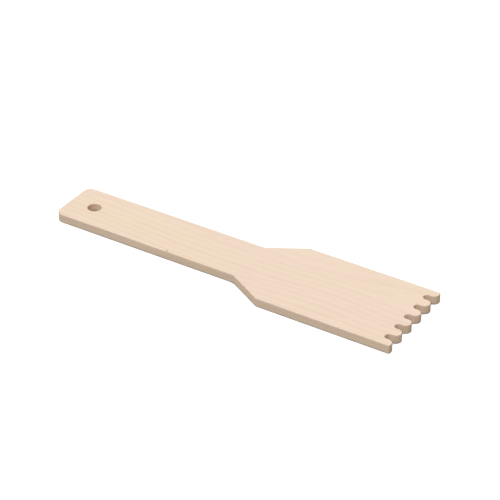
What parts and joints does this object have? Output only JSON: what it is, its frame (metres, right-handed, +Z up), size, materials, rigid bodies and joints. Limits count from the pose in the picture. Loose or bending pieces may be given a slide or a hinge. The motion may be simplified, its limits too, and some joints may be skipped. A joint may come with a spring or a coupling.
{
  "type": "notched hand paddle",
  "caption": "Flat one-piece wooden hand paddle: straight handle with a hanging hole, tapered shoulders, and a wide blade ending in round-tipped teeth with round-bottomed notches between them.",
  "frame": {"origin": "middle of the bounding box on the underside, which is the flat face the paddle rests on", "axes": "+X along the board from the handle end to the tooth tips, +Y across the blade, +Z up through the thickness"},
  "size_m": [0.28, 0.0716, 0.0067],
  "materials": {
    "pale_beech": "bare fine-grained pale hardwood, sanded, no lacquer, edges lightly eased"
  },
  "bodies": {
    "root": {"notched_paddle": "pale_beech"}
  },
  "joints": []
}
